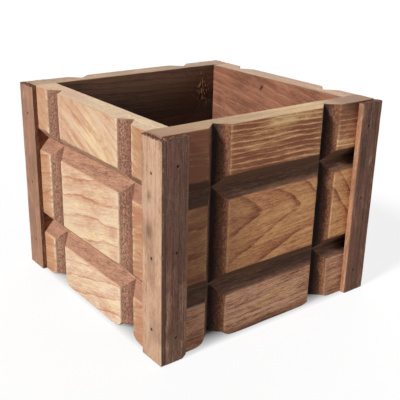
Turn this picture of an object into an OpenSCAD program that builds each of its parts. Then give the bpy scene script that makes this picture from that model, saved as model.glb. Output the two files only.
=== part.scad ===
// Open timber planter box: four walls of three stacked boards, lapped corner battens and a slatted floor.
// The origin is the centre of the footprint at ground level. The front wall faces -Y.

/* [Box] */
// Overall width over the corner battens, along X
box_w = 400; // [380:1:520]
// Overall depth over the corner battens, along Y
box_d = 400; // [380:1:520]
// Thickness of the wall boards
wall_t = 34; // [28:0.5:38]

/* [Board heights] */
// Height of the bottom board
bottom_h = 85; // [78:1:110]
// Height of the middle board
middle_h = 143; // [130:1:180]
// Height of the top board
top_h = 87; // [80:1:110]

/* [Grooves] */
// Half the width of the upright grooves
upright_half_w = 18.5; // [10:0.5:20]
// Height of the bevel on each board's long edge
bevel_h = 18; // [10:0.5:20]
// Depth of the grooves and bevels
groove_depth = 16.5; // [6:0.5:17]
// Distance between the two upright grooves of a wall
groove_pitch = 204; // [180:1:220]

/* [Corner battens] */
// Thickness of the battens on the left and right walls
side_batten_t = 7.5; // [5:0.5:12]
// Thickness of the battens on the front and back walls
end_batten_t = 10; // [5:0.5:12]
// Width of the battens on the left and right walls
side_batten_w = 45; // [42:1:50]
// Width seen from the front of a corner's two battens together
corner_face_w = 42; // [38:1:48]
// How far the battens stop below the rim
batten_drop = 1; // [0:0.5:4]

/* [Floor] */
// Thickness of the floor slats
slat_t = 18; // [12:1:22]
// Drainage gap between slats
slat_gap = 8; // [4:1:12]
// Gap between the outer slats and the side walls
slat_side_gap = 4; // [2:1:8]
// Height and width of the floor bearers
bearer_s = 25; // [22:1:30]
// Height of the bearers above the ground
bearer_z = 12; // [6:1:16]
// Clearance at the ends of slats and bearers
end_gap = 1; // [0.5:0.5:3]

/* [Fixings] */
// Diameter of the batten nails' shanks
nail_d = 2; // [1.6:0.1:2.4]
// Diameter of the batten nails' heads
nail_head_d = 4; // [3:0.5:5]
// Length of the batten nails
nail_l = 30; // [25:1:32]
// How far the batten nails are punched below the face
nail_set = 0.8; // [0.2:0.1:1.5]
// Diameter of the corner screws
screw_d = 5; // [4:0.5:6]
// Diameter of the corner screws' heads
screw_head_d = 9; // [8:0.5:11]
// Length of the corner screws under the head
screw_l = 66; // [55:1:80]

/* [Hidden] */

$fn = 48;
// How much wider a drilled hole is than its fixing
drill_gap = 0.1;

// The rows of boards, counted from the ground: 0 bottom, 1 middle, 2 top
row_z = [0, bottom_h, bottom_h + middle_h, bottom_h + middle_h + top_h];
rim_z = row_z[3];
batten_h = rim_z - batten_drop;

// Outer faces of the walls, measured from the centre
front_face = box_d / 2 - end_batten_t;
side_face = box_w / 2 - side_batten_t;
front_len = 2 * side_face;
side_len = 2 * (front_face - wall_t);
room_x = 2 * (side_face - wall_t);
room_y = side_len;

// The end battens sit behind the side battens' edges
end_batten_w = corner_face_w - side_batten_t;
end_batten_x = side_face - end_batten_w / 2;

// Heights of the batten nails, staggered so that the nails of a corner's two battens pass each other
nail_head_h = 0.8;
nail_stagger = 5;
row_mid = [for (row = [0:2]) (row_z[row] + row_z[row + 1]) / 2];
end_nail_z = [row_mid[0] - nail_stagger, row_mid[1] + nail_stagger, row_mid[2] + nail_stagger];
side_nail_z = [row_mid[0] + nail_stagger, row_mid[1] - nail_stagger, row_mid[2] - nail_stagger];

// The side battens' nails run into the ends of the front and back boards
side_nail_inset = wall_t / 2 - 4;

// Corner screws: two per board, clear of its bevels, with the heads sunk behind the end battens
screw_head_h = 3;
screw_seat = 3.2;
screw_from_bevel = 12;
screw_from_edge = 18;
screw_x = side_face - wall_t / 2;
screw_low_z = [
    for (row = [0:2]) row_z[row] + (row > 0 ? bevel_h + screw_from_bevel : screw_from_edge)
];
screw_high_z = [
    for (row = [0:2]) row_z[row + 1] - (row < 2 ? bevel_h + screw_from_bevel : screw_from_edge)
];

// Bearers and slats
slat_count = 4;
bearer_l = room_x - 2 * end_gap;
slat_l = room_y - 2 * end_gap;
slat_w = (room_x - 2 * slat_side_gap - (slat_count - 1) * slat_gap) / slat_count;
slat_pitch = slat_w + slat_gap;
slat_z = bearer_z + bearer_s;
slat_nail_x = 0.28 * slat_w;
slat_nail_d = 2;
slat_nail_head_d = 4;
slat_nail_l = 34;
bearer_screw_x = [-130, 0, 130];
bearer_screw_d = 4;
bearer_screw_head_d = 8;
bearer_screw_l = 42;
bearer_screw_z = bearer_z + bearer_s / 2;

// Centre of a slat, counted from 1 at the left
function slat_x(i) = (i - (slat_count + 1) / 2) * slat_pitch;

board_colour = "burlywood";
side_board_colour = "peru";
batten_colour = "sienna";
floor_colour = "saddlebrown";
steel_colour = "dimgray";

// Turns a shape that is drawn for the front wall to face one of the four sides
module on_side(side) {
    turn = side == "front" ? 0 : side == "right" ? 90 : side == "back" ? 180 : -90;
    rotate([0, 0, turn]) children();
}

// A headed fixing along +Y: the head starts at y = 0 and the shank ends in a point
module fixing(d, head_d, head_h, l) {
    tip = 1.5 * d;
    rotate([-90, 0, 0]) rotate_extrude() polygon([
        [0, 0], [head_d / 2, 0], [head_d / 2, head_h], [d / 2, head_h],
        [d / 2, head_h + l - tip], [0, head_h + l]
    ]);
}

// The hole for a fixing: a seat for the head and a bore a little wider than the shank
module fixing_hole(d, head_d, head_h, l) {
    rotate([-90, 0, 0]) {
        translate([0, 0, -2]) cylinder(d = head_d + 2 * drill_gap, h = head_h + 2);
        cylinder(d = d + drill_gap, h = head_h + l + drill_gap);
    }
}

// A cross recess in a screw head at y = 0
module cross_recess(d) {
    for (turn = [0, 90]) rotate([0, turn, 0])
        translate([-d * 0.3, -1, -d * 0.05]) cube([d * 0.6, 2.2, d * 0.1]);
}

module screw(d, head_d, l) {
    difference() {
        fixing(d, head_d, screw_head_h, l);
        cross_recess(head_d);
    }
}

// One batten nail per row of boards at x, drawn for the front side, with the batten's face at y = -plane
module nail_row(x, plane, heights, hole) {
    for (z = heights) translate([x, -plane + nail_set, z])
        if (hole) fixing_hole(nail_d, nail_head_d, nail_head_h, nail_l);
        else fixing(nail_d, nail_head_d, nail_head_h, nail_l);
}

module end_nails(hole) {
    for (s = [-1, 1]) nail_row(s * end_batten_x, box_d / 2, end_nail_z, hole);
}

// As end_nails, for a left or right wall, whose length runs along Y
module side_nails(hole) {
    for (s = [-1, 1])
        nail_row(s * (front_face - side_nail_inset), box_w / 2, side_nail_z, hole);
}

// Corner screws through the front boards into the ends of the side boards
module screw_pair(row, hole) {
    for (s = [-1, 1]) for (z = [screw_low_z[row], screw_high_z[row]])
        translate([s * screw_x, -front_face + screw_seat - screw_head_h, z])
            if (hole) fixing_hole(screw_d, screw_head_d, screw_head_h, screw_l);
            else screw(screw_d, screw_head_d, screw_l);
}

// Bearer screws, driven outwards from the bearer's inner face
module bearer_screw_row(hole) {
    for (x = bearer_screw_x)
        translate([x, -front_face + wall_t + bearer_s, bearer_screw_z])
            mirror([0, 1, 0])
                if (hole) fixing_hole(bearer_screw_d, bearer_screw_head_d, screw_head_h, bearer_screw_l);
                else screw(bearer_screw_d, bearer_screw_head_d, bearer_screw_l);
}

// Slat nails of one slat, driven down into both bearers
module slat_nail_group(x, hole) {
    for (side = [-1, 1]) for (s = [-1, 1])
        translate([x + s * slat_nail_x, side * (room_y / 2 - bearer_s / 2), slat_z + slat_t])
            rotate([-90, 0, 0])
                if (hole) fixing_hole(slat_nail_d, slat_nail_head_d, nail_head_h, slat_nail_l);
                else fixing(slat_nail_d, slat_nail_head_d, nail_head_h, slat_nail_l);
}

// The outline of a board's section, outer face at y = 0, with a bevel on the edges that meet another board
module board_section(row) {
    h = row_z[row + 1] - row_z[row];
    low = row > 0 ? bevel_h : 0;
    high = row < 2 ? bevel_h : 0;
    polygon([
        [groove_depth * sign(low), 0], [wall_t, 0], [wall_t, h], [groove_depth * sign(high), h],
        [0, h - high], [0, low]
    ]);
}

// The cutter of an upright groove: the V runs on for 1 mm outside the board's face
module groove_section() {
    mouth = upright_half_w * (1 + 1 / groove_depth);
    polygon([[-mouth, -1], [mouth, -1], [0, groove_depth]]);
}

// One wall board, drawn for the front side with its outer face at y = -face
module wall_board(row, l, face) {
    h = row_z[row + 1] - row_z[row];
    translate([0, -face, row_z[row]]) difference() {
        translate([-l / 2, 0, 0]) rotate([90, 0, 90]) linear_extrude(height = l) board_section(row);
        for (s = [-1, 1]) translate([s * groove_pitch / 2, 0, -1])
            linear_extrude(height = h + 2) groove_section();
    }
}

module end_wall_board(row, side) {
    difference() {
        on_side(side) wall_board(row, front_len, front_face);
        on_side(side) end_nails(true);
        on_side(side) screw_pair(row, true);
        on_side("left") side_nails(true);
        on_side("right") side_nails(true);
        if (row == 0) on_side(side) bearer_screw_row(true);
    }
}

module side_wall_board(row, side) {
    difference() {
        on_side(side) wall_board(row, side_len, side_face);
        on_side("front") screw_pair(row, true);
        on_side("back") screw_pair(row, true);
    }
}

// A batten on the left or right wall, at the front (s = -1) or the back (s = 1)
module side_batten(side, s) {
    x = side == "left" ? -box_w / 2 : side_face;
    y = s < 0 ? -box_d / 2 : box_d / 2 - side_batten_w;
    color(batten_colour) difference() {
        translate([x, y, 0]) cube([side_batten_t, side_batten_w, batten_h]);
        on_side(side) side_nails(true);
    }
}

// A batten on the front or back wall, at the left (s = -1) or the right (s = 1)
module end_batten(side, s) {
    y = side == "front" ? -box_d / 2 : front_face;
    color(batten_colour) difference() {
        translate([s * end_batten_x - end_batten_w / 2, y, 0]) cube([end_batten_w, end_batten_t, batten_h]);
        on_side(side) end_nails(true);
    }
}

module floor_bearer(side) {
    color(floor_colour) difference() {
        on_side(side) translate([-bearer_l / 2, -room_y / 2, bearer_z])
            cube([bearer_l, bearer_s, bearer_s]);
        on_side(side) bearer_screw_row(true);
        for (i = [1:slat_count]) slat_nail_group(slat_x(i), true);
    }
}

module floor_slat(i) {
    color(floor_colour) difference() {
        translate([slat_x(i) - slat_w / 2, -slat_l / 2, slat_z]) cube([slat_w, slat_l, slat_t]);
        slat_nail_group(slat_x(i), true);
    }
}

module front_board_bottom() { color(board_colour) end_wall_board(0, "front"); }
module front_board_middle() { color(board_colour) end_wall_board(1, "front"); }
module front_board_top() { color(board_colour) end_wall_board(2, "front"); }
module back_board_bottom() { color(board_colour) end_wall_board(0, "back"); }
module back_board_middle() { color(board_colour) end_wall_board(1, "back"); }
module back_board_top() { color(board_colour) end_wall_board(2, "back"); }
module left_board_bottom() { color(side_board_colour) side_wall_board(0, "left"); }
module left_board_middle() { color(side_board_colour) side_wall_board(1, "left"); }
module left_board_top() { color(side_board_colour) side_wall_board(2, "left"); }
module right_board_bottom() { color(side_board_colour) side_wall_board(0, "right"); }
module right_board_middle() { color(side_board_colour) side_wall_board(1, "right"); }
module right_board_top() { color(side_board_colour) side_wall_board(2, "right"); }

module left_batten_front() { side_batten("left", -1); }
module left_batten_back() { side_batten("left", 1); }
module right_batten_front() { side_batten("right", -1); }
module right_batten_back() { side_batten("right", 1); }
module front_batten_left() { end_batten("front", -1); }
module front_batten_right() { end_batten("front", 1); }
module back_batten_left() { end_batten("back", -1); }
module back_batten_right() { end_batten("back", 1); }

module floor_bearer_front() { floor_bearer("front"); }
module floor_bearer_back() { floor_bearer("back"); }
module floor_slat_1() { floor_slat(1); }
module floor_slat_2() { floor_slat(2); }
module floor_slat_3() { floor_slat(3); }
module floor_slat_4() { floor_slat(4); }

module batten_nails() {
    color(steel_colour) {
        for (side = ["front", "back"]) on_side(side) end_nails(false);
        for (side = ["left", "right"]) on_side(side) side_nails(false);
    }
}

module corner_screws() {
    color(steel_colour)
        for (side = ["front", "back"]) on_side(side)
            for (row = [0:2]) screw_pair(row, false);
}

module bearer_screws() {
    color(steel_colour)
        for (side = ["front", "back"]) on_side(side) bearer_screw_row(false);
}

module slat_nails() {
    color(steel_colour) for (i = [1:slat_count]) slat_nail_group(slat_x(i), false);
}

front_board_bottom();
front_board_middle();
front_board_top();
back_board_bottom();
back_board_middle();
back_board_top();
left_board_bottom();
left_board_middle();
left_board_top();
right_board_bottom();
right_board_middle();
right_board_top();
left_batten_front();
left_batten_back();
right_batten_front();
right_batten_back();
front_batten_left();
front_batten_right();
back_batten_left();
back_batten_right();
floor_bearer_front();
floor_bearer_back();
floor_slat_1();
floor_slat_2();
floor_slat_3();
floor_slat_4();
batten_nails();
corner_screws();
bearer_screws();
slat_nails();
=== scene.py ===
"""Looks of the timber planter box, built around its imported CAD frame. Every length is in metres."""

import math
from collections import namedtuple

import bpy
import numpy as np
from mathutils import Matrix, Vector


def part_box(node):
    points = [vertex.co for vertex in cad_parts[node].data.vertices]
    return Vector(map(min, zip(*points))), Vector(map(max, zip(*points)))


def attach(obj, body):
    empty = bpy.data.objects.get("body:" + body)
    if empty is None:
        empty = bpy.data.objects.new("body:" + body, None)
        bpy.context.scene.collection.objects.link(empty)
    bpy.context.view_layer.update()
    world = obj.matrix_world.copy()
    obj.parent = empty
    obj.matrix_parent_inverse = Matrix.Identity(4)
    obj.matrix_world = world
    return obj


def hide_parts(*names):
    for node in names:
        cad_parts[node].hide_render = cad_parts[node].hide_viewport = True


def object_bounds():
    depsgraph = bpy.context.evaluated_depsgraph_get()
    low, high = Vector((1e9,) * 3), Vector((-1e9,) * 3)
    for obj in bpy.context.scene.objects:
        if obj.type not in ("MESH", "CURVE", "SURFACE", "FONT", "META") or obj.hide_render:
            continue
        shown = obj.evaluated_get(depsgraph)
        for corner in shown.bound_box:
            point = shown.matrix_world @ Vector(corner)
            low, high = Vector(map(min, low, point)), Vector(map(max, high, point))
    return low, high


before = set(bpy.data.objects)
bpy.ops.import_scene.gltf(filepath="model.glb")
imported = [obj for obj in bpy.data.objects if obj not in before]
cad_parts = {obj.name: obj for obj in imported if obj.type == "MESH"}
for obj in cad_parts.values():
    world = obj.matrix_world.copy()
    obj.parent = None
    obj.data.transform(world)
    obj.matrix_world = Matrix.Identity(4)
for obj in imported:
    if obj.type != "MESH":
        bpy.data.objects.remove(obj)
CAD_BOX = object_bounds()
MM = 0.001

# The camera of the reference view. Its angles are in degrees, its lens and sensor in millimetres
CAMERA_AT = (-0.64883, -0.85751, 0.54522)
CAMERA_TURN = 37.691
CAMERA_DOWN = 20.981
CAMERA_ROLL = 1.354
CAMERA_LENS = 63.468
SENSOR = 36.0

# The lights. travel is the way that a light shines, in degrees from +X towards +Y.
Sun = namedtuple("Sun", "name power travel height softness")
SUNS = (
    Sun("key", power=3.7, travel=7.5, height=42, softness=10),
    Sun("fill", power=1.15, travel=130, height=6, softness=60),
    Sun("side", power=0.4, travel=4, height=2, softness=60),
    Sun("back", power=1.1, travel=228, height=26, softness=60),
)
SKY_COLOUR = (1.0, 0.98, 0.96, 1)
SKY_LIGHT = 0.135
BACKDROP = 0.93

# The studio floor: its grey, and the light of its own, which is cut down under the box as painted shade
FLOOR_REACH = 20.0
FLOOR_GAP = 0.2 * MM
FLOOR_GREYS = ((0.15, 0.15, 0.15, 1), (0.18, 0.18, 0.18, 1))
FLOOR_GLOW = 0.79
UNDER_BOX_PAINTED_SHADE = 0.02
GLOW_FROM = 165 * MM
GLOW_FULL_AT = 200 * MM

# The joinery, as in the CAD part
UPRIGHT_HALF = 18.5 * MM
BEVEL = 18 * MM
GROOVE_DEPTH = 16.5 * MM
GROOVE_AT = 102 * MM
NAIL_SET = 0.8 * MM
# From this far off the middle, a front or back board's inner face is hidden by the wall that butts on it
HIDDEN_BEYOND = (165 * MM, 172 * MM)
# Marks inside the box, each in its own wall's axes: resin drops on the back wall, a knot on the right
RESIN_AT = (-136 * MM, 272 * MM)
KNOT_AT = (24 * MM, 296 * MM)

# The grids of the timber, along u, v and w, and how far their edges are rounded
BOARD_STEPS = (4 * MM, 4 * MM, 5 * MM)
BATTEN_STEPS = (1.1 * MM, 5 * MM, 1.2 * MM)
SAWN_STEPS = (5 * MM, 5 * MM, 4 * MM)
BOARD_EASED = 0.7 * MM
BATTEN_EASED = 1.1 * MM
SAWN_EASED = 1.8 * MM
EDGE_BAND = 2 * MM
EDGE_STEP = 0.5 * MM
CUT_STEP = 1 * MM
FINE_STEP = 0.9 * MM
NAIL_STEP = 0.8 * MM
SHARP_ANGLE = 50
PATTERN_SHIFT = 0.37

# The four sides: the direction along the wall, and inwards
SIDES = {
    "front": ((1, 0, 0), (0, 1, 0)),
    "right": ((0, 1, 0), (-1, 0, 0)),
    "back": ((-1, 0, 0), (0, -1, 0)),
    "left": ((0, -1, 0), (1, 0, 0)),
}
ROWS = ("bottom", "middle", "top")


# ---------------------------------------- numbers


def srgb(red, green, blue):
    """A linear colour from the usual 0 to 255 values."""
    return tuple(
        c / 12.92 if c <= 0.04045 else ((c + 0.055) / 1.055) ** 2.4
        for c in (red / 255, green / 255, blue / 255)
    ) + (1.0,)


def hashed(cells, seed):
    """A random number from 0 to 1 for each row of whole numbers."""
    x, y, z = (cells[:, i].astype(np.uint64) for i in range(3))
    h = x * np.uint64(73856093) ^ y * np.uint64(19349663) ^ z * np.uint64(83492791)
    h = (h ^ np.uint64(seed * 7919 + 17)) * np.uint64(0x9E3779B97F4A7C15)
    h = (h ^ (h >> np.uint64(29))) * np.uint64(0xBF58476D1CE4E5B9)
    return ((h >> np.uint64(32)) & np.uint64(0xFFFFFF)).astype(float) / 0xFFFFFF


def rough(points, scale, seed):
    """Smooth noise from 0 to 1 at each point; scale is in lumps per metre along each axis."""
    p = points * np.asarray(scale, float) + 1000.0
    cell = np.floor(p).astype(np.int64)
    part = p - cell
    part = part * part * (3 - 2 * part)
    total = np.zeros(len(p))
    for corner in np.ndindex(2, 2, 2):
        share = np.prod(np.where(corner, part, 1 - part), axis=1)
        total += share * hashed(cell + np.array(corner), seed)
    return total


def smooth_step(low, high, x):
    """0 at low, 1 at high and a soft curve between; low may be the larger of the two."""
    t = np.clip((x - low) / (high - low), 0, 1)
    return t * t * (3 - 2 * t)


def soft_max(a, b, worn):
    """The larger of two depths, with the arris between them worn round."""
    return 0.5 * (a + b + np.sqrt((a - b) ** 2 + worn**2))


# ---------------------------------------- grids


def around(middle, reach, step):
    """A stretch of finer grid lines about a place."""
    return (middle - reach, middle + reach, step)


def stations(low, high, step, fine=()):
    """Grid lines from low to high, step apart, and closer inside each (start, end, step) of fine."""
    spots = [low]
    while spots[-1] < high:
        here = spots[-1]
        near = [s for a, b, s in fine if a <= here < b]
        ahead = [a for a, b, s in fine if a > here]
        spots.append(min([here + min(near, default=step)] + ahead))
    if len(spots) > 2 and high - spots[-2] < 0.3 * step:
        spots.pop()
    spots[-1] = high
    return np.array(spots)


def box_grid(us, vs, ws):
    """The surface of a box as a closed grid: one row (i, j, k) per point, and the quads."""
    shape = (len(us), len(vs), len(ws))
    index = np.indices(shape).reshape(3, -1).T
    last = np.array(shape) - 1
    on_skin = ((index == 0) | (index == last)).any(axis=1)
    ids = np.full(len(index), -1)
    ids[on_skin] = np.arange(on_skin.sum())
    ids = ids.reshape(shape)
    quads = []
    for axis in range(3):
        for end in (0, -1):
            g = ids.take(end, axis=axis)
            ring = [g[:-1, :-1], g[1:, :-1], g[1:, 1:], g[:-1, 1:]]
            if (end == -1) != (axis == 1):
                ring.reverse()
            quads.append(np.stack([r.ravel() for r in ring], axis=1))
    return index[on_skin], np.concatenate(quads)


def solid_boxes(node):
    """The low and high corner of each separate solid in a node of fixings."""
    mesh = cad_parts[node].data
    parent = list(range(len(mesh.vertices)))

    def root(i):
        while parent[i] != i:
            parent[i] = parent[parent[i]]
            i = parent[i]
        return i

    place = {}
    for v in mesh.vertices:
        key = tuple(round(c, 6) for c in v.co)
        parent[root(v.index)] = root(place.setdefault(key, v.index))
    for e in mesh.edges:
        parent[root(e.vertices[0])] = root(e.vertices[1])
    groups = {}
    for v in mesh.vertices:
        groups.setdefault(root(v.index), []).append(tuple(v.co))
    return [(np.min(g, axis=0), np.max(g, axis=0)) for g in groups.values()]


# ---------------------------------------- timber meshes


class Rings(
    namedtuple("Rings", "spacing tilt centre taper pith phase bend", defaults=(0, (0, 0), 0, 0.03, 0, 0))
):
    """Growth rings: cones about a pith behind the face, bent along the board.
    tilt is in degrees, taper and phase are plain numbers, bend is per metre and the rest is in metres."""

    def turned(self, along, across):
        """Places along and across the run of the fibres."""
        c = math.cos(math.radians(self.tilt))
        s = math.sin(math.radians(self.tilt))
        return np.stack([along * c + across * s, across * c - along * s], axis=1)

    def number(self, along, across, depth):
        """Which ring each point lies in; the whole part changes from ring to ring."""
        x, y = along - self.centre[0], across - self.centre[1]
        a, b = self.turned(x, y - self.bend * x * np.abs(x)).T
        return (np.hypot(b, depth + self.pith) + self.taper * a) / self.spacing + self.phase


def side_axes(side):
    """The u, v and w axes of what lies on one side of the box: along the wall, up and inwards."""
    along, inwards = SIDES[side]
    return (along, (0, 0, 1), inwards)


class Timber:
    """One piece of wood as a fine grid in its own axes: u and v across its face, w inwards from it."""

    def __init__(self, node, axes, lengthwise, seed):
        self.node = node
        self.seed = seed
        self.along = "uv".index(lengthwise)
        self.axes = np.array(axes, float)
        corners = np.array([list(c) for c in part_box(node)]) @ self.axes.T
        self.low = corners.min(axis=0)
        self.high = corners.max(axis=0)
        self.masks = {}

    def grid(self, steps, eased, fine_u=(), fine_v=()):
        """Lays the grid; every edge gets lines close enough to be rounded."""
        spans = []
        for axis, fine in enumerate((fine_u, fine_v, ())):
            low, high = self.low[axis], self.high[axis]
            ends = [(low, low + EDGE_BAND, EDGE_STEP), (high - EDGE_BAND, high, EDGE_STEP)]
            spans.append(stations(low, high, steps[axis], list(fine) + ends))
        index, self.quads = box_grid(*spans)
        self.rest = np.stack([spans[i][index[:, i]] for i in range(3)], axis=1)
        self.outer = index[:, 2] == 0
        self.inner = index[:, 2] == len(spans[2]) - 1
        self.share = (self.rest - self.low) / (self.high - self.low)
        self.at = self.eased(eased)
        # Noise over the face is read at the places from before any wear
        self.face = self.at * (1, 1, 0)

    def eased(self, radius):
        """The grid with its twelve edges rounded, more in some places than in others."""
        r = (radius * (0.6 + 0.8 * self.noise_through((60, 60, 60), 0)))[:, None]
        core = np.clip(self.rest, self.low + r, self.high - r)
        away = self.rest - core
        length = np.linalg.norm(away, axis=1)[:, None]
        return np.where(length > r, core + away * r / np.maximum(length, 1e-9), self.rest)

    def noise_on_face(self, scale, number):
        """Noise over the face, in lumps per metre along u and v; number picks the pattern."""
        return rough(self.face, (*scale, 1), self.seed + number)

    def noise_through(self, scale, number):
        """Noise right through the wood, in lumps per metre along u, v and w."""
        return rough(self.rest, scale, self.seed + number)

    def near(self, u, v, reach_u, reach_v):
        """How near each point is to a place on the face, 1 at the place itself."""
        return np.exp(-(((self.rest[:, 0] - u) / reach_u) ** 2) - ((self.rest[:, 1] - v) / reach_v) ** 2)

    def from_ends(self, axis):
        """The distance of each point from the nearer end of an axis."""
        return np.minimum(self.rest[:, axis] - self.low[axis], self.high[axis] - self.rest[:, axis])

    def heads_among(self, fixings):
        """Where the fixings whose heads lie at this piece's face are, in its own axes."""
        spots = []
        for box in fixings:
            corners = np.array(box) @ self.axes.T
            head = corners.min(axis=0)[2]
            centre = corners.mean(axis=0)[:2]
            inside = np.all(centre > self.low[:2]) and np.all(centre < self.high[:2])
            if inside and abs(head - self.low[2]) < 2 * MM:
                spots.append(centre)
        return spots

    def to_nearest(self, spots):
        """The distance from each point of the face to the nearest of the spots, at most a metre."""
        distance = np.full(len(self.at), 1.0)
        for spot in spots:
            distance = np.minimum(distance, np.hypot(*(self.at[:, :2] - spot).T))
        return distance

    def sink(self, depth):
        """Pushes the outer face in by a depth at each point; what lies behind it is pressed together."""
        self.at[:, 2] += depth * (1 - self.share[:, 2])

    def trim(self, axis, low, high):
        """Takes a length at each point off the two ends of an axis."""
        self.at[:, axis] += low * (1 - self.share[:, axis]) - high * self.share[:, axis]

    def unmark(self, *names):
        """Sets the masks that this piece makes no use of to 0."""
        for name in names:
            self.masks[name] = np.zeros(len(self.at))

    def grain(self, rings):
        """Each point's place along and across the fibres, and its depth, for the wood's patterns."""
        along, across = self.at[:, self.along], self.at[:, 1 - self.along]
        straight = np.stack([along, across], axis=1)
        on_face = self.masks["side"][:, None] < 0.5
        place = np.where(on_face, rings.turned(along, across), straight)
        return np.column_stack([place, self.at[:, 2] - self.low[2]])

    def mesh(self, rings):
        """The finished object, with the ring number, the grain's own place and the masks at each point."""
        grain = self.grain(rings)
        middle = (self.low + self.high) / 2
        along = self.at[:, self.along] - middle[self.along]
        across = self.at[:, 1 - self.along] - middle[1 - self.along]
        self.masks["ring"] = rings.number(along, across, grain[:, 2])
        mesh = bpy.data.meshes.new(self.node + "_wood")
        mesh.from_pydata((self.at @ self.axes).tolist(), [], self.quads.tolist())
        place = mesh.attributes.new("grain", "FLOAT_VECTOR", "POINT")
        shifted = grain + PATTERN_SHIFT * self.seed
        place.data.foreach_set("vector", shifted.astype(np.float32).ravel())
        for name, values in self.masks.items():
            layer = mesh.attributes.new(name, "FLOAT", "POINT")
            layer.data.foreach_set("value", np.asarray(values, np.float32))
        mesh.polygons.foreach_set("use_smooth", [True] * len(mesh.polygons))
        mesh.set_sharp_from_angle(angle=math.radians(SHARP_ANGLE))
        piece = bpy.data.objects.new(self.node + "_wood", mesh)
        bpy.context.scene.collection.objects.link(piece)
        return piece


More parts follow.
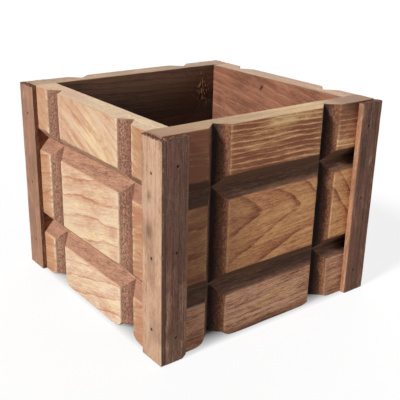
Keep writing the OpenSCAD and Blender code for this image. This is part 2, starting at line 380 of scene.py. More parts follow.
class WallBoard(Timber):
    """A wall board with its bevels and two upright grooves, worn arrises and rough groove flanks."""

    def __init__(self, side, row, seed):
        super().__init__(f"{side}_board_{row}", side_axes(side), "u", seed)
        self.row = row
        self.bevelled_below = row != "bottom"
        self.bevelled_above = row != "top"
        self.resinous = self.node == "back_board_top"
        self.knotted = self.node == "right_board_top"

    def build(self, rings, raw, smudges):
        """The finished board. RAW_AND_PAINTED_SHADE and SMUDGES tell what raw and smudges hold."""
        self.lay_grid()
        self.measure_cuts()
        self.roughen()
        if self.row == "bottom":
            self.wear_foot()
        self.wear_edges()
        self.add_resin()
        self.mark_cuts()
        self.mark_faces()
        self.mark_raw(raw, smudges)
        return self.mesh(rings)

    def lay_grid(self):
        """The grid is finer about the grooves, the bevels and the marks inside the box."""
        groove_reach, bevel_reach = 22 * MM, 21 * MM
        fine_u = [around(s * GROOVE_AT, groove_reach, CUT_STEP) for s in (-1, 1)]
        fine_v = []
        if self.bevelled_below:
            fine_v.append((self.low[1], self.low[1] + bevel_reach, CUT_STEP))
        if self.bevelled_above:
            fine_v.append((self.high[1] - bevel_reach, self.high[1], CUT_STEP))
        if self.resinous:
            fine_u[0] = around(RESIN_AT[0], 26 * MM, 0.7 * MM)
            fine_v.append((self.high[1] - 80 * MM, self.high[1], FINE_STEP))
        if self.knotted:
            fine_u.append(around(KNOT_AT[0], 6 * MM, FINE_STEP))
            fine_v.append(around(KNOT_AT[1], 8 * MM, FINE_STEP))
        self.grid(BOARD_STEPS, BOARD_EASED, fine_u, fine_v)

    def measure_cuts(self):
        """How far each point lies inside a groove or a bevel, and how deep the cut is there."""
        u, v = self.at[:, 0], self.at[:, 1]
        self.inside_groove = UPRIGHT_HALF - np.minimum(abs(u - GROOVE_AT), abs(u + GROOVE_AT))
        self.inside_bevel = np.full_like(u, -1.0)
        if self.bevelled_below:
            self.inside_bevel = np.maximum(self.inside_bevel, self.low[1] + BEVEL - v)
        if self.bevelled_above:
            self.inside_bevel = np.maximum(self.inside_bevel, v - self.high[1] + BEVEL)
        ragged = 0.9 * MM * (self.noise_on_face((400, 130), 0) - 0.5)
        upright = (self.inside_groove + ragged) * GROOVE_DEPTH / UPRIGHT_HALF
        bevel = self.inside_bevel * GROOVE_DEPTH / BEVEL
        worn = (0.4 + 2.2 * self.noise_on_face((45, 45), 1) ** 3) * MM
        self.depth = soft_max(soft_max(upright, bevel, worn), 0, 0.7 * worn)
        self.in_cut = smooth_step(0.25 * MM, 1.5 * MM, self.depth)
        self.cross = smooth_step(-1 * MM, 1 * MM, upright - bevel) * smooth_step(0, 2 * MM, upright)

    def roughen(self):
        """Cuts the grooves and bevels, with torn flanks, saw marks and slow waves over the face."""
        torn = self.noise_on_face((900, 500), 2) + 0.7 * self.noise_on_face((420, 260), 3)
        self.depth += 0.45 * MM * torn * self.cross
        self.depth += 0.25 * MM * self.noise_on_face((60, 700), 4) * self.in_cut
        self.depth += 0.5 * MM * self.noise_on_face((8, 16), 5)
        self.sink(self.depth)

    def wear_foot(self):
        """Lifts the lower outer edge of a bottom board, most of all at the feet of its grooves."""
        lift = (3 + 8 * self.noise_on_face((9, 1), 8)) * MM
        about_groove = np.exp(-np.maximum(-self.inside_groove, 0) / (5 * MM))
        at_foot = (1 - smooth_step(0, 0.15, self.share[:, 1])) * (1 - self.share[:, 2])
        self.at[:, 1] += lift * about_groove * at_foot
        self.at[:, 1] += 0.8 * MM * self.noise_on_face((30, 1), 9) * (1 - self.share[:, 1])

    def wear_edges(self):
        """Makes the upper edge and the inner face uneven; the rim is the most worn."""
        wear = 0.7 * MM if self.row == "top" else 0.15 * MM
        self.trim(1, 0, wear * self.noise_through((10, 10, 30), 6))
        self.at[:, 2] -= 0.5 * MM * self.noise_on_face((9, 14), 7) * self.inner

    def add_resin(self):
        """Raised drops of resin inside the back wall, in a hollow that keeps them below the CAD face."""
        drops = smooth_step(0.6, 0.78, self.noise_on_face((430, 260), 10))
        self.masks["resin"] = drops * self.near(*RESIN_AT, 15 * MM, 26 * MM) * self.inner * self.resinous
        above_joint = smooth_step(self.low[1], self.low[1] + 25 * MM, self.at[:, 1])
        hollow = self.near(*RESIN_AT, 50 * MM, 70 * MM) * above_joint * self.inner * self.resinous
        self.at[:, 2] += 1.4 * MM * (self.masks["resin"] - hollow)

    def mark_cuts(self):
        """Masks of the cuts, of the bevels that face down (painted lighter as painted bounce light), of the
        arrises and of the wood beside grooves.
        """
        under = np.zeros(len(self.at))
        if self.bevelled_below:
            under = smooth_step(-1 * MM, 1 * MM, self.low[1] + BEVEL - self.at[:, 1])
        to_arris = np.abs(np.maximum(self.inside_groove, self.inside_bevel))
        at_groove = smooth_step(-1 * MM, 0, self.inside_groove - self.inside_bevel)
        self.masks["cut"] = self.in_cut * self.outer
        self.masks["cross"] = self.cross * self.outer
        self.masks["under"] = under * (1 - self.cross) * self.in_cut * self.outer
        self.masks["edge"] = np.exp(-to_arris / (1.6 * MM)) * self.outer * (0.25 + 0.75 * at_groove)
        self.masks["fringe"] = np.exp(-np.abs(self.inside_groove) / (5 * MM)) * self.outer

    def mark_faces(self):
        """Masks of the rim, of the inside of the box, of the depth of each cut, of the painted shade inside
        and of the knot.
        """
        top = self.high[1]
        rim = np.zeros(len(self.at))
        shade = np.ones(len(self.at))
        if self.row == "top":
            rim = smooth_step(top - 1.2 * MM, top, self.rest[:, 1])
            shade = smooth_step(top, top - 80 * MM, self.at[:, 1])
        self.behind_side_wall = smooth_step(*HIDDEN_BEYOND, abs(self.rest[:, 0])) * self.inner
        self.masks["side"] = rim
        self.masks["inside"] = self.share[:, 2] * (1 - rim) * (1 - self.behind_side_wall)
        # Inside, deep is painted shade: it grows over the top 80 mm below the rim and is full on the lower
        # rows
        self.masks["deep"] = self.depth / GROOVE_DEPTH * self.outer + shade * self.inner
        slanted = KNOT_AT[0] - 0.5 * (self.rest[:, 1] - KNOT_AT[1])
        knot = 1.7 * self.near(slanted, KNOT_AT[1], 3 * MM, 4.5 * MM)
        self.masks["nail"] = knot * self.inner * self.knotted

    def mark_raw(self, raw, smudges):
        """The mask of the wood that stayed dark; on the front boards it is also painted shadow of the corner
        batten.
        Above 1 it is a smudge.
        """
        u = self.at[:, 0]
        arrises = [s * GROOVE_AT + d for s in (-1, 1) for d in (-1 * MM, 1 * MM)]
        on_rim = np.interp(u, (self.low[0], 0.1), (0.9 * raw[0], 0))
        dark = np.where(self.masks["side"] > 0, on_rim, np.interp(u, arrises, raw) * self.outer)
        upper = self.outer * (self.share[:, 1] > 0.5)
        at_bevel = 0.5 * np.exp(-np.abs(self.inside_bevel) / (1.2 * MM)) * upper
        dark = np.where(at_bevel > 0.01, np.maximum(dark, at_bevel), dark)
        for smudge in smudges:
            dark = np.maximum(dark, 1.5 * self.near(*smudge))
        self.masks["raw"] = np.maximum(dark, self.behind_side_wall)


class Batten(Timber):
    """A corner batten: worn arrises, a saw-torn top and foot, and a sunk place at each nail."""

    def __init__(self, side, end, seed):
        super().__init__(f"{side}_batten_{end}", side_axes(side), "v", seed)

    def build(self, rings, fixings, smudges, chipped):
        """The finished batten. smudges are spots on the face, measured from its low edge; chipped says that
        a corner of its foot is gone."""
        heads = self.heads_among(fixings)
        self.lay_grid(heads)
        self.to_nail = self.to_nearest(heads)
        self.roughen()
        self.tear_ends(chipped)
        self.mark_edges()
        self.mark_stains(smudges)
        return self.mesh(rings)

    def lay_grid(self, heads):
        """The grid is finer about the nails and at both ends."""
        nail_reach, end_band = 3.4 * MM, 7 * MM
        fine_u = [around(head[0], nail_reach, NAIL_STEP) for head in heads[:1]]
        fine_v = [around(head[1], nail_reach, NAIL_STEP) for head in heads]
        fine_v.append((self.low[1], self.low[1] + end_band, CUT_STEP))
        fine_v.append((self.high[1] - end_band, self.high[1], NAIL_STEP))
        self.grid(BATTEN_STEPS, BATTEN_EASED, fine_u, fine_v)

    def roughen(self):
        """Waves and saw marks over the face, and a pit over each nail's head."""
        waves = 0.35 * MM * self.noise_on_face((30, 6), 0)
        saw_marks = 0.18 * MM * self.noise_on_face((500, 25), 1)
        ragged = 0.9 * MM * (self.noise_on_face((900, 500), 2) - 0.5)
        pit = smooth_step(2.2 * MM, 1.6 * MM, self.to_nail + ragged)
        self.sink(waves + saw_marks + pit * (NAIL_SET + 0.15 * MM))

    def tear_ends(self, chipped):
        """Splinters at the top, a ragged foot, and slightly uneven sides."""
        splinters = 1.8 * self.noise_through((1100, 1, 700), 3) ** 2 + self.noise_through((260, 1, 200), 4)
        top = 1.5 * MM * splinters * smooth_step(0.9, 1.0, self.share[:, 1]) ** 0.5
        foot = 0.8 * MM * self.noise_through((700, 1, 500), 5)
        if chipped:
            in_corner = np.maximum(self.rest[:, 0] - self.high[0] + 6 * MM, 0)
            foot = foot + in_corner * (0.8 + 0.4 * foot / MM)
        self.at[:, 1] += foot * (1 - smooth_step(0, 0.04, self.share[:, 1])) - top
        low_side = 0.3 * MM * self.noise_through((1, 20, 60), 6)
        high_side = 0.3 * MM * self.noise_through((1, 24, 60), 7)
        self.trim(0, low_side, high_side)

    def mark_edges(self):
        """Masks of the end grain, the arrises, the two sides and the paler lower half."""
        to_side = self.from_ends(0)
        behind_face = smooth_step(0.4 * MM, 1.2 * MM, self.rest[:, 2] - self.low[2])
        self.masks["cross"] = smooth_step(1.0 * MM, 0, self.from_ends(1))
        self.masks["edge"] = np.exp(-to_side / (1.2 * MM))
        self.masks["side"] = smooth_step(0.8 * MM, 0, to_side) * behind_face
        self.masks["fringe"] = 0.7 * smooth_step(self.low[1] + 190 * MM, self.low[1], self.at[:, 1])
        self.unmark("cut", "deep", "inside", "under", "resin")

    def mark_stains(self, smudges):
        """Masks of the stains and smudges, and of the dark ring about each nail."""
        stains = 0.3 * smooth_step(0.66, 0.86, self.noise_through((45, 22, 45), 8))
        for smudge in smudges:
            stains = np.maximum(stains, 0.7 * self.near(self.low[0] + smudge[0], *smudge[1:]))
        self.masks["raw"] = stains
        self.masks["nail"] = np.exp(-((self.to_nail / (2.2 * MM)) ** 2))


class SawnTimber(Timber):
    """A sawn slat or bearer with eased edges and a slightly uneven face."""

    def build(self, rings, fixings=()):
        self.grid(SAWN_STEPS, SAWN_EASED)
        self.sink(0.35 * MM * self.noise_on_face((12, 12), 0))
        to_nail = self.to_nearest(self.heads_among(fixings))
        self.masks["cross"] = smooth_step(1.0 * MM, 0, self.from_ends(self.along))
        self.masks["nail"] = np.exp(-((to_nail / (4 * MM)) ** 2))
        self.unmark("cut", "deep", "edge", "side", "inside", "fringe", "raw", "under", "resin")
        return self.mesh(rings)


# ---------------------------------------- materials


class Shader:
    """Builds a material's nodes. A value is a number, a colour or another node's output."""

    def __init__(self, name):
        self.material = bpy.data.materials.new(name)
        self.material.use_nodes = True
        self.tree = self.material.node_tree
        self.surface = self.tree.nodes["Principled BSDF"]

    def put(self, socket, value):
        if isinstance(value, bpy.types.NodeSocket):
            self.tree.links.new(value, socket)
        else:
            socket.default_value = value

    def node(self, kind, *values, **settings):
        n = self.tree.nodes.new("ShaderNode" + kind)
        for key, value in settings.items():
            setattr(n, key, value)
        for socket, value in zip(n.inputs, values):
            self.put(socket, value)
        return n

    def math(self, operation, *values):
        return self.node("Math", *values, operation=operation).outputs[0]

    def times(self, first, second):
        return self.math("MULTIPLY", first, second)

    def span(self, value, low, high, to_low=0.0, to_high=1.0):
        """The value's place between low and high, as a number from to_low to to_high."""
        return self.node("MapRange", value, low, high, to_low, to_high).outputs[0]

    def swing(self, value, amount):
        """Noise about a middle of 0."""
        return self.math("MULTIPLY_ADD", value, amount, -0.5 * amount)

    def total(self, *values):
        whole = values[0]
        for value in values[1:]:
            whole = self.math("ADD", whole, value)
        return whole

    def mix(self, share, first, second):
        """first where share is 0 and second where it is 1."""
        n = self.node("Mix", data_type="RGBA")
        for socket, value in zip((n.inputs[0], n.inputs[6], n.inputs[7]), (share, first, second)):
            self.put(socket, value)
        return n.outputs[2]

    def mask(self, name):
        return self.node("Attribute", attribute_name=name).outputs["Fac"]

    def noise(self, vector, scale, detail=2.0, roughness=0.5, distortion=0.0):
        """Noise with its own scale along each axis, in lumps per metre."""
        n = self.node("TexNoise")
        stretched = self.node("VectorMath", vector, scale, operation="MULTIPLY").outputs[0]
        self.put(n.inputs["Vector"], stretched)
        n.inputs["Scale"].default_value = 1.0
        n.inputs["Detail"].default_value = detail
        n.inputs["Roughness"].default_value = roughness
        n.inputs["Distortion"].default_value = distortion
        return n.outputs[0]

    def ramp(self, value, stops):
        """A grey level for each value, by straight lines between (value, level) stops."""
        n = self.node("ValToRGB", value)
        while len(n.color_ramp.elements) < len(stops):
            n.color_ramp.elements.new(0.5)
        for element, (at, level) in zip(n.color_ramp.elements, stops):
            element.position = at
            element.color = (level, level, level, 1)
        return n.outputs[0]

    def finish(self, colour, roughness, height=None):
        """The material with its colour, its roughness and, where it has relief, its height in metres."""
        self.put(self.surface.inputs["Base Color"], colour)
        self.put(self.surface.inputs["Roughness"], roughness)
        self.surface.inputs["Specular IOR Level"].default_value = 0.35
        if height is not None:
            bump = self.node("Bump")
            bump.inputs["Distance"].default_value = 1.0
            self.put(bump.inputs["Height"], height)
            self.put(self.surface.inputs["Normal"], bump.outputs[0])
        return self.material


# How dark the wood is across one growth ring, as (place, level) stops
DARK_LINES = ((0, 0.0), (0.5, 0.06), (0.84, 0.34), (0.95, 1.0), (1.0, 0.05))
LIGHT_LINES = ((0, 0.05), (0.1, 0.3), (0.3, 0.85), (0.8, 1.0), (1.0, 0.1))
SHADED_LINES = ((0, 0.0), (0.3, 0.05), (0.75, 0.35), (0.94, 1.0), (1.0, 0.1))

# The wood's patterns: lumps per metre along the fibres, across them and inwards. What may follow is the
# noise's detail, roughness and warp.
STREAKS = ((6, 70, 70), 3.0, 0.6)
THREADS = ((13, 230, 230), 4.0, 0.7)
FIBRES = ((90, 750, 750), 3.0, 0.65)
PORES = ((520, 900, 900), 2.0, 0.6)
RASPED = ((560, 240, 560), 4.0, 0.75)
PATCHES = ((13, 24, 24), 3.0, 0.6, 0.6)
GLOWING = ((14, 28, 28), 3.0, 0.6, 0.8)
FAINT_STRETCHES = (14, 40, 40)
RING_DRIFT = (6, 13, 13)
RING_BUMPS = (20, 45, 45)
RING_RIPPLES = (60, 150, 150)

# How high each pattern stands on the surface
LINE_HEIGHT = -0.15 * MM
THREAD_HEIGHT = 0.6 * MM
FIBRE_HEIGHT = 0.12 * MM
RASPED_HEIGHT = 1.2 * MM
STEEL_HEIGHT = 0.08 * MM

# Colours that every wood shares
SMUDGE = srgb(40, 24, 18)
SCORE = srgb(40, 26, 20)
# The next colour darkens the bottoms of the grooves: partly scorch, partly painted shade
SOOT_AND_SHADE = srgb(30, 20, 17)
LIP = srgb(60, 36, 28)
DULL = srgb(30, 20, 16)
# The next colour is the painted shade deep inside the box
PAINTED_SHADE_BROWN = srgb(30, 16, 10)
# The next colour lightens the resin drops inside the back wall, as painted glints on them
RESIN_WITH_PAINTED_GLINT = srgb(150, 116, 88)
HOLE = srgb(50, 34, 30)
STEEL = srgb(72, 64, 60)
RUST = srgb(58, 34, 24)

# Clear wood goes from light over warm to dark, with patches of glow, and is pale where it is worn.
# stain, torn and char are the colours of bevels, groove flanks and groove bottoms; the dark of the
# bottoms is partly scorch and partly painted shade. raw is of dark wood, and on the front boards also of
# painted shadow; under is of the bevels that face down, painted lighter than stain as painted bounce light;
# inner and inner_line are of the inside, and sawn of rims and sides.
# The rest says how strong the patterns are: lines are the stops across a ring, line_share and fine say
# how much the rings and the finer lines show, drift and bumps how far they wander, patchy and fibrous how
# uneven the tone is, glowing how much glow there is, edge how pale the wear is, shade how much painted shade
# darkens the inside with depth, and lip how dark a groove's flank is near the face.
Look = namedtuple(
    "Look",
    "light warm dark glow pale stain torn char raw under inner inner_line sawn"
    " lines line_share fine drift bumps patchy fibrous glowing edge shade lip",
    defaults=(DARK_LINES, 0.7, 0.2, 0.4, 0.4, 1.2, 1.0, 0.6, 0.5, 0.0, 0.0),
)


class Wood(Shader):
    """Solid wood: growth rings, fibres, stain blotches, stained cuts whose bottoms are partly scorched and
    partly painted shade, worn arrises, painted bounce light on bevels that face down and painted shade
    inside.
    """

    def __init__(self, name, look):
        super().__init__(name)
        self.look = look
        self.cross = self.mask("cross")
        self.deep = self.mask("deep")
        self.raw = self.mask("raw")
        self.edge = self.mask("edge")
        self.stained = self.math("MAXIMUM", self.mask("cut"), self.cross)
        self.make_patterns()
        self.make_lines()

    def build(self):
        """The finished material, from the clear wood to the marks that lie on top."""
        look = self.look
        wood = self.mix(self.raw, self.clear_wood(), self.raw_wood())
        wood = self.mix(self.span(self.raw, 0.9, 1.5), wood, self.mix(0.6, look.raw, SMUDGE))
        wood = self.mix(self.worn(), wood, look.pale)
        wood = self.mix(self.stained, wood, self.cut_wood())
        worn_cut = self.times(self.edge, self.times(self.stained, 0.35 * look.edge))
        wood = self.mix(worn_cut, wood, look.pale)
        wood = self.mix(self.span(self.mask("inside"), 0.02, 0.2), wood, self.inside_wood())
        wood = self.mix(self.times(self.mask("side"), 0.95), wood, self.sawn_wood())
        # Resin drops: real raised drops, painted lighter as painted glints
        wood = self.mix(self.times(self.mask("resin"), 0.8), wood, RESIN_WITH_PAINTED_GLINT)
        wood = self.mix(self.times(self.mask("nail"), 0.65), wood, HOLE)
        return self.finish(wood, self.dullness(), self.relief())

    def make_patterns(self):
        """Noises that run with the fibres, and the rasped look of what is cut across them."""
        grain = self.node("Attribute", attribute_name="grain").outputs["Vector"]
        streak = self.noise(grain, *STREAKS)
        pores = self.noise(grain, *PORES)
        self.grain = grain
        self.thread = self.noise(grain, *THREADS)
        self.fibre = self.noise(grain, *FIBRES)
        self.rasp = self.noise(grain, *RASPED)
        self.patch = self.noise(grain, *PATCHES)
        self.threads = self.total(
            self.swing(streak, 1.7), self.swing(self.thread, 2.4), self.swing(self.fibre, 2.8)
        )
        self.lengthwise = self.total(self.threads, self.swing(pores, 1.6))
        self.crosswise = self.total(self.swing(self.rasp, 8.5), self.swing(self.patch, 1.5))

    def make_lines(self):
        """The lines of the growth rings, and the tone of the wood from light, 0, to dark, 1."""
        look = self.look
        ring = self.mask("ring")
        wander = ((RING_DRIFT, look.drift), (RING_BUMPS, look.bumps), (RING_RIPPLES, 0.3 * look.bumps))
        for scale, amount in wander:
            ring = self.total(ring, self.swing(self.noise(self.grain, scale), 2.0 * amount))
        strength = self.span(self.noise(self.grain, FAINT_STRETCHES), 0.35, 0.6, 0.5, 1.0)
        self.line = self.times(self.ramp(self.math("FRACT", ring), look.lines), strength)
        fine = self.ramp(self.math("FRACT", self.times(ring, 4.0)), DARK_LINES)
        lines = self.math("MULTIPLY_ADD", self.line, look.line_share, self.times(fine, look.fine))
        fibres = self.math("MULTIPLY_ADD", self.lengthwise, look.fibrous * 0.55, 0.2)
        patches = self.swing(self.patch, look.patchy)
        self.tone = self.total(lines, fibres, patches, self.times(self.raw, 0.35))

    def clear_wood(self):
        look = self.look
        glow = self.span(self.noise(self.grain, *GLOWING), 0.5, 0.66)
        glow = self.math("SUBTRACT", self.times(glow, look.glowing), self.raw)
        light = self.mix(glow, look.light, look.glow)
        warm = self.mix(self.span(self.tone, 0.0, 0.5), light, look.warm)
        return self.mix(self.span(self.tone, 0.5, 1.0), warm, look.dark)

    def raw_wood(self):
        """Wood that stayed dark, mottled and with its lines faintly seen; on the front boards it is also
        painted shadow.
        """
        look = self.look
        mottle = self.span(self.total(self.patch, self.swing(self.thread, 0.9)), 0.42, 0.64, 0.0, 0.8)
        raw = self.mix(mottle, look.raw, self.mix(0.6, look.raw, look.glow))
        return self.mix(self.span(self.tone, 0.4, 1.0), raw, self.mix(0.65, look.raw, look.dark))

    def worn(self):
        """Where the arrises and the wood beside the grooves are rubbed pale."""
        wear = self.math("MULTIPLY_ADD", self.mask("fringe"), 0.7, self.edge)
        patchy = self.total(self.patch, self.swing(self.thread, 1.2))
        wear = self.times(wear, self.span(patchy, 0.4, 0.62, 0.0, self.look.edge))
        return self.math("MINIMUM", wear, 0.9)

    def cut_wood(self):
        """The stained bevels, the torn flanks of the grooves, and their dark bottoms: partly scorch, partly
        painted shade.
        """
        look = self.look
        scratch = self.span(self.cross, 0.0, 1.0, self.times(self.threads, 0.9), self.crosswise)
        scratch = self.math("ADD", scratch, 0.5)
        clean = self.mix(self.cross, look.stain, look.torn)
        stain = self.mix(self.span(scratch, 0.0, 0.5), self.mix(0.5, clean, SCORE), clean)
        hairs = self.times(self.span(scratch, 0.5, 1.2), self.span(self.cross, 0.0, 1.0, 0.4, 0.7))
        stain = self.mix(hairs, stain, self.mix(0.35, look.torn, look.pale))
        # Bevels that face down are painted lighter, towards under: painted bounce light where the floor
        # gives none
        under = self.mix(self.span(scratch, -0.6, 0.6), look.stain, look.under)
        stain = self.mix(self.mask("under"), stain, under)
        dark_bevel = self.times(self.raw, self.span(self.cross, 0.0, 1.0, 0.5, 0.0))
        stain = self.mix(dark_bevel, stain, look.char)
        # Groove flanks darken towards the apex: partly scorch, partly painted shade in the depth of the
        # groove
        burnt_and_shaded = self.span(self.times(self.deep, self.cross), 0.3, 0.85)
        char = self.mix(self.span(scratch, 0.1, 0.9), self.mix(0.35, look.char, SOOT_AND_SHADE), look.char)
        stain = self.mix(burnt_and_shaded, stain, char)
        lip = self.times(self.span(self.deep, 0.34, 0.1, 0.0, look.lip), self.cross)
        return self.mix(lip, stain, self.mix(0.6, look.torn, LIP))

    def inside_wood(self):
        """The inner faces of the walls, with painted shade that darkens them with depth."""
        look = self.look
        wood = self.mix(self.times(self.line, 0.9), look.inner, look.inner_line)
        wood = self.mix(self.span(self.lengthwise, -0.1, 0.7, 0.0, 0.5), wood, look.inner_line)
        dull = self.total(self.times(self.lengthwise, 0.6), self.swing(self.patch, 3.0))
        dull = self.span(dull, 0.1, -0.6, 0.0, 0.6)
        wood = self.mix(dull, wood, self.mix(0.6, look.inner, DULL))
        # Painted shade: the inside turns towards a dark brown with depth
        return self.mix(self.span(self.deep, 0.0, 1.0, 0.0, look.shade), wood, PAINTED_SHADE_BROWN)

    def sawn_wood(self):
        """The rims of the walls and the sides of the battens."""
        look = self.look
        blotch = self.span(self.total(self.lengthwise, self.swing(self.patch, 1.5)), 0.2, -0.6)
        wood = self.mix(blotch, look.sawn, self.mix(0.6, look.sawn, look.raw))
        wood = self.mix(self.span(self.lengthwise, 0.1, 0.6, 0.0, 0.5), wood, look.glow)
        return self.mix(self.raw, wood, self.mix(0.15, look.raw, look.sawn))

    def dullness(self):
        """The roughness: cuts are duller than the face, and resin shines."""
        wood = self.span(self.total(self.thread, self.stained), 0.3, 1.6, 0.5, 0.85)
        return self.span(self.mask("resin"), 0.1, 0.8, wood, 0.22)

    def relief(self):
        height = self.times(self.line, LINE_HEIGHT)
        height = self.math("MULTIPLY_ADD", self.thread, THREAD_HEIGHT, height)
        height = self.math("MULTIPLY_ADD", self.fibre, FIBRE_HEIGHT, height)
        return self.math("MULTIPLY_ADD", self.times(self.rasp, self.cross), RASPED_HEIGHT, height)


def steel_material(name):
    """Zinc-plated steel that has gone dull and rusty in patches."""
    s = Shader(name)
    place = s.node("TexCoord").outputs["Object"]
    patch = s.noise(place, (260, 260, 260), 4.0, 0.6)
    fine = s.noise(place, (1800, 1800, 1800), 3.0, 0.6)
    rust = s.span(s.math("MULTIPLY_ADD", fine, 0.3, patch), 0.5, 0.72)
    s.put(s.surface.inputs["Metallic"], s.span(rust, 0.0, 1.0, 0.8, 0.1))
    dullness = s.span(rust, 0.0, 1.0, 0.5, 0.85)
    return s.finish(s.mix(rust, STEEL, RUST), dullness, s.times(fine, STEEL_HEIGHT))


def floor_material():
    """A grey, slightly uneven studio floor that gives a light of its own, cut down under the box as painted
    shade.
    """
    s = Shader("studio_floor")
    place = s.node("TexCoord").outputs["Object"]
    apart = s.node("SeparateXYZ", s.node("VectorMath", place, operation="ABSOLUTE").outputs[0])
    from_middle = s.math("MAXIMUM", apart.outputs[0], apart.outputs[1])
    glow = s.span(from_middle, GLOW_FROM, GLOW_FULL_AT, UNDER_BOX_PAINTED_SHADE, FLOOR_GLOW)
    s.surface.inputs["Emission Color"].default_value = (1, 1, 1, 1)
    s.put(s.surface.inputs["Emission Strength"], glow)
    return s.finish(s.mix(s.noise(place, (0.8, 0.8, 0.8)), *FLOOR_GREYS), 0.9)


# ---------------------------------------- each piece's own wood

INNER = dict(inner=srgb(150, 98, 76), inner_line=srgb(186, 134, 104))
# Each under below is lighter than its stain: painted bounce light on the bevels that face down
GOLD = dict(
    glow=srgb(242, 188, 122), pale=srgb(206, 170, 122), stain=srgb(104, 72, 56), torn=srgb(152, 94, 68),
    char=srgb(64, 46, 42), raw=srgb(124, 78, 54), under=srgb(136, 98, 76), sawn=srgb(198, 168, 118),
    **INNER,
)
CREAM = dict(
    glow=srgb(246, 220, 166), pale=srgb(246, 222, 186), stain=srgb(160, 116, 92), torn=srgb(178, 127, 103),
    char=srgb(156, 108, 86), raw=srgb(180, 124, 92), under=srgb(252, 205, 170), sawn=srgb(194, 170, 136),
    lip=0.7, edge=0.6, **INNER,
)
PLAIN = dict(
    glow=srgb(224, 184, 152), pale=srgb(206, 160, 128), stain=srgb(92, 62, 50), torn=srgb(92, 62, 50),
    char=srgb(60, 40, 34), raw=srgb(98, 70, 58), under=srgb(118, 78, 56), **INNER,
)

FRONT_TOP = Look(
    srgb(255, 212, 154), srgb(212, 148, 100), srgb(150, 88, 58), **GOLD, lines=LIGHT_LINES,
    line_share=0.85, fine=0.1, drift=0.8, bumps=0.3, patchy=1.3, glowing=0.2, edge=0.4,
)
FRONT_MIDDLE = Look(
    srgb(246, 186, 126), srgb(204, 134, 90), srgb(132, 74, 48), **GOLD, lines=SHADED_LINES,
    line_share=0.7, fine=0.12, drift=0.25, bumps=0.15, patchy=0.8, edge=0.3,
)
FRONT_BOTTOM = Look(
    srgb(234, 182, 146), srgb(190, 128, 98), srgb(114, 66, 50), **GOLD,
    line_share=0.5, drift=0.5, bumps=0.4, patchy=1.7, fibrous=1.3, edge=0.3,
)
LEFT_TOP = Look(
    srgb(228, 196, 164), srgb(206, 156, 124), srgb(178, 118, 88), **CREAM,
    line_share=0.42, fine=0.12, drift=0.25, bumps=0.2, patchy=1.3, fibrous=0.9, glowing=0.6,
)
LEFT_MIDDLE = Look(
    srgb(234, 206, 172), srgb(210, 164, 134), srgb(186, 122, 86), **CREAM,
    line_share=0.65, fine=0.06, drift=0.5, bumps=0.25, patchy=1.4, fibrous=0.8, glowing=0.9,
)
LEFT_BOTTOM = Look(
    srgb(240, 216, 184), srgb(214, 168, 140), srgb(190, 126, 90), **CREAM,
    line_share=0.6, fine=0.06, drift=0.5, bumps=0.25, patchy=1.4, fibrous=0.8, glowing=0.8,
)
BATTEN_PINK = Look(
    srgb(208, 172, 144), srgb(188, 144, 115), srgb(142, 96, 73), **PLAIN, sawn=srgb(104, 72, 58),
    line_share=0.2, drift=0.4, bumps=0.2, fibrous=1.2, edge=0.2,
)
BATTEN_TAN = Look(
    srgb(178, 136, 112), srgb(159, 117, 95), srgb(128, 86, 66), **PLAIN, sawn=srgb(120, 74, 52),
    line_share=0.3, drift=0.4, bumps=0.2, fibrous=1.2, edge=0.2,
)
BATTEN_BROWN = Look(
    srgb(142, 98, 78), srgb(112, 74, 58), srgb(72, 46, 36), **PLAIN, sawn=srgb(190, 138, 104),
    line_share=0.4, drift=0.2, bumps=0.1, fibrous=1.3, edge=0.2,
)
BATTEN_DARK = Look(
    srgb(142, 102, 84), srgb(116, 78, 64), srgb(76, 50, 40), **PLAIN, sawn=srgb(190, 138, 104),
    line_share=0.6, drift=0.2, bumps=0.1, fibrous=1.3, edge=0.4,
)
SLAT = Look(
    srgb(176, 132, 100), srgb(150, 106, 80), srgb(120, 82, 60), **PLAIN, sawn=srgb(150, 108, 80)
)

FRONT_LOOKS = dict(bottom=FRONT_BOTTOM, middle=FRONT_MIDDLE, top=FRONT_TOP)
LEFT_LOOKS = dict(bottom=LEFT_BOTTOM, middle=LEFT_MIDDLE, top=LEFT_TOP)
SIDE_LOOKS = dict(front=FRONT_LOOKS, back=FRONT_LOOKS, left=LEFT_LOOKS, right=LEFT_LOOKS)
# What differs inside the box and on the rim. The back wall is darker inside, and painted shade darkens it
# with depth; its lower rows get it all over.
PAINTED_SHADE_INSIDE = dict(inner=srgb(54, 34, 26), inner_line=srgb(76, 52, 40), shade=0.3)
INSIDES = {
    "back_board_top": dict(
        inner=srgb(92, 62, 46), inner_line=srgb(118, 86, 64), shade=0.9, sawn=srgb(148, 122, 92)
    ),
    "back_board_middle": PAINTED_SHADE_INSIDE,
    "back_board_bottom": PAINTED_SHADE_INSIDE,
    "right_board_top": dict(sawn=srgb(150, 122, 96)),
}
BATTEN_LOOKS = {
    ("left", "front"): BATTEN_PINK,
    ("left", "back"): BATTEN_TAN,
    ("right", "front"): BATTEN_TAN,
    ("right", "back"): BATTEN_PINK,
    ("front", "left"): BATTEN_DARK,
    ("front", "right"): BATTEN_BROWN,
    ("back", "left"): BATTEN_TAN,
    ("back", "right"): BATTEN_DARK,
}

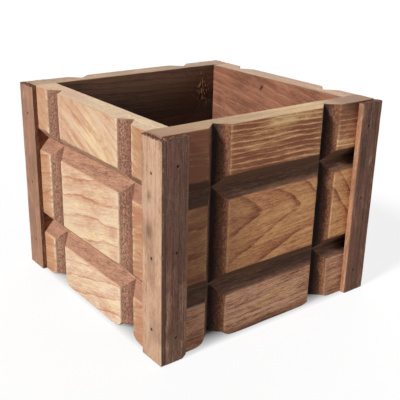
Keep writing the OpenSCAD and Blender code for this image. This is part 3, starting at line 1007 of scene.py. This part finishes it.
BOARD_RINGS = {
    "front_board_top": Rings(7.6 * MM, -1, (0, -0.24), bend=-0.15),
    "front_board_middle": Rings(36 * MM, 2, (-0.023, 0.028), taper=0.5, pith=0.008, phase=0.74, bend=-2.2),
    "front_board_bottom": Rings(9 * MM, 1, (0, -0.12), taper=0.02, pith=0.02),
    "left_board_top": Rings(14 * MM, -26, (0, -0.3), pith=0.04),
    "left_board_middle": Rings(30 * MM, 15, (0.02, -0.16), taper=0.05, pith=0.02),
    "left_board_bottom": Rings(24 * MM, 13, (-0.02, 0.14), taper=0.05),
    "right_board_top": Rings(17 * MM, 12, (0, -0.2), pith=0.05, bend=-0.35),
    "right_board_middle": Rings(15 * MM, 4, (0.05, 0.02), taper=0.4, pith=0.01),
    "right_board_bottom": Rings(10 * MM, -2, (0, 0.2), taper=0.02, pith=0.02),
    "back_board_top": Rings(9 * MM, 2, (0, 0.2)),
    "back_board_middle": Rings(30 * MM, -8, (0.03, -0.02), taper=0.35, pith=0.01),
    "back_board_bottom": Rings(10 * MM, 0, (0, -0.14), taper=0.02, pith=0.02),
}

# How dark the wood is: beyond the low groove, at the middle panel's ends, beyond the high groove. It is wood
# that stayed dark, and on the front boards the dark at the low end, deepest on the top board, is also
# painted shadow of the corner batten
RAW_AND_PAINTED_SHADE = {
    "front_board_top": (0.95, 0.1, -0.3, -0.3),
    "front_board_middle": (0.75, 0.55, -0.8, 0.0),
    "front_board_bottom": (0.3, 0.15, -0.4, 0.15),
    "left_board_top": (0.4, 0.05, 0.0, 0.9),
    "left_board_middle": (0.7, 0.05, 0.0, 0.85),
    "left_board_bottom": (0.85, 0.1, 0.0, 0.85),
}
USUAL_RAW = (0.3, 0.1, 0.1, 0.3)


def spot(*millimetres):
    """A dark smudge: its place along the face (on a batten, from the low edge), its height, and its
    reach both ways."""
    return tuple(length * MM for length in millimetres)


SMUDGES = {
    "front_board_top": (spot(162, 318, 44, 28),),
    # On the front bottom board: darker along the middle of its foot
    "front_board_bottom": (spot(-10, -3, 90, 11),),
    "left_batten_front": (spot(17, 188, 9, 14), spot(17, 236, 4, 7)),
    "front_batten_left": (spot(4, 238, 4, 9), spot(23, 202, 8, 9)),
}
CHIPPED = "front_batten_left"


# ---------------------------------------- the pieces


def dress(piece, node, material):
    """Puts a new piece in the place of its CAD node."""
    piece.data.materials.append(material)
    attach(piece, "root")
    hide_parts(node)


def make_walls():
    seed = 0
    for side in SIDES:
        for row in ROWS:
            seed += 1
            board = WallBoard(side, row, seed)
            node = board.node
            piece = board.build(BOARD_RINGS[node], RAW_AND_PAINTED_SHADE.get(node, USUAL_RAW), SMUDGES.get(node, ()))
            look = SIDE_LOOKS[side][row]._replace(**INSIDES.get(node, {}))
            dress(piece, node, Wood(node + "_wood", look).build())


def make_battens():
    nails = solid_boxes("batten_nails")
    for i, ((side, end), look) in enumerate(BATTEN_LOOKS.items()):
        batten = Batten(side, end, seed=20 + i)
        node = batten.node
        rings = Rings(9 * MM, 0.3, (0, -0.06 - 0.013 * i), pith=0.02, phase=0.92)
        piece = batten.build(rings, nails, SMUDGES.get(node, ()), chipped=node == CHIPPED)
        dress(piece, node, Wood(node + "_wood", look).build())


def make_floor_timber():
    material = Wood("floor_timber_wood", SLAT).build()
    nails = solid_boxes("slat_nails")
    from_above = ((1, 0, 0), (0, 1, 0), (0, 0, -1))
    for i in range(1, 5):
        slat = SawnTimber(f"floor_slat_{i}", from_above, "v", seed=30 + i)
        rings = Rings(7 * MM, 1, (0, 0.03 * i - 0.07), taper=0.03, pith=0.02)
        dress(slat.build(rings, nails), slat.node, material)
    for side in ("front", "back"):
        bearer = SawnTimber(f"floor_bearer_{side}", side_axes(side), "u", seed=36)
        rings = Rings(5 * MM, 1, (0, 0.04), pith=0.02)
        dress(bearer.build(rings), bearer.node, material)


def dress_fixings():
    """The nails and screws keep their CAD shape and get a better material."""
    material = steel_material("dull_steel")
    for node in ("batten_nails", "corner_screws", "bearer_screws", "slat_nails"):
        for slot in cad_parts[node].material_slots:
            slot.material = material


# ---------------------------------------- stage


def shining(travel, height):
    """The direction that a light or camera points in, from its turn and its slope down."""
    turn, down = math.radians(travel), math.radians(height)
    return Vector((math.cos(down) * math.cos(turn), math.cos(down) * math.sin(turn), -math.sin(down)))


def add_sun(sun):
    light = bpy.data.lights.new(sun.name, "SUN")
    light.energy = sun.power
    light.angle = math.radians(sun.softness)
    lamp = bpy.data.objects.new(sun.name, light)
    lamp.rotation_euler = shining(sun.travel, sun.height).to_track_quat("-Z", "Y").to_euler()
    bpy.context.scene.collection.objects.link(lamp)


def make_floor():
    """A wide studio floor that passes under the object. Its bounced light is left to the sky."""
    r = FLOOR_REACH
    mesh = bpy.data.meshes.new("studio_floor")
    mesh.from_pydata([(-r, -r, 0), (r, -r, 0), (r, r, 0), (-r, r, 0)], [], [(0, 1, 2, 3)])
    mesh.materials.append(floor_material())
    floor = bpy.data.objects.new("studio_floor", mesh)
    bpy.context.scene.collection.objects.link(floor)
    floor.location.z = CAD_BOX[0].z - FLOOR_GAP
    floor.visible_diffuse = False
    floor.visible_glossy = False


def make_sky():
    """Even studio light from all round, with a bright backdrop where the camera sees it."""
    world = bpy.data.worlds.new("studio")
    world.use_nodes = True
    tree = world.node_tree
    background = tree.nodes["Background"]
    background.inputs["Color"].default_value = SKY_COLOUR
    seen = tree.nodes.new("ShaderNodeLightPath")
    level = tree.nodes.new("ShaderNodeMapRange")
    level.inputs["To Min"].default_value = SKY_LIGHT
    level.inputs["To Max"].default_value = BACKDROP
    tree.links.new(seen.outputs["Is Camera Ray"], level.inputs["Value"])
    tree.links.new(level.outputs[0], background.inputs["Strength"])
    bpy.context.scene.world = world


def make_camera():
    """The camera looks CAMERA_TURN degrees to the right of +Y, and down."""
    ahead = shining(90 - CAMERA_TURN, CAMERA_DOWN)
    roll = math.radians(CAMERA_ROLL)
    right = ahead.cross(Vector((0, 0, 1))).normalized()
    up = right.cross(ahead)
    side = right * math.cos(roll) + up * math.sin(roll)
    top = up * math.cos(roll) - right * math.sin(roll)
    data = bpy.data.cameras.new("camera")
    data.sensor_width = SENSOR
    data.lens = CAMERA_LENS
    camera = bpy.data.objects.new("camera", data)
    turned = Matrix((side, top, -ahead)).transposed().to_4x4()
    camera.matrix_world = Matrix.Translation(CAMERA_AT) @ turned
    bpy.context.scene.collection.objects.link(camera)
    bpy.context.scene.camera = camera


make_walls()
make_battens()
make_floor_timber()
dress_fixings()
make_floor()
make_sky()
for sun in SUNS:
    add_sun(sun)
make_camera()
bpy.context.scene.view_settings.view_transform = "Standard"
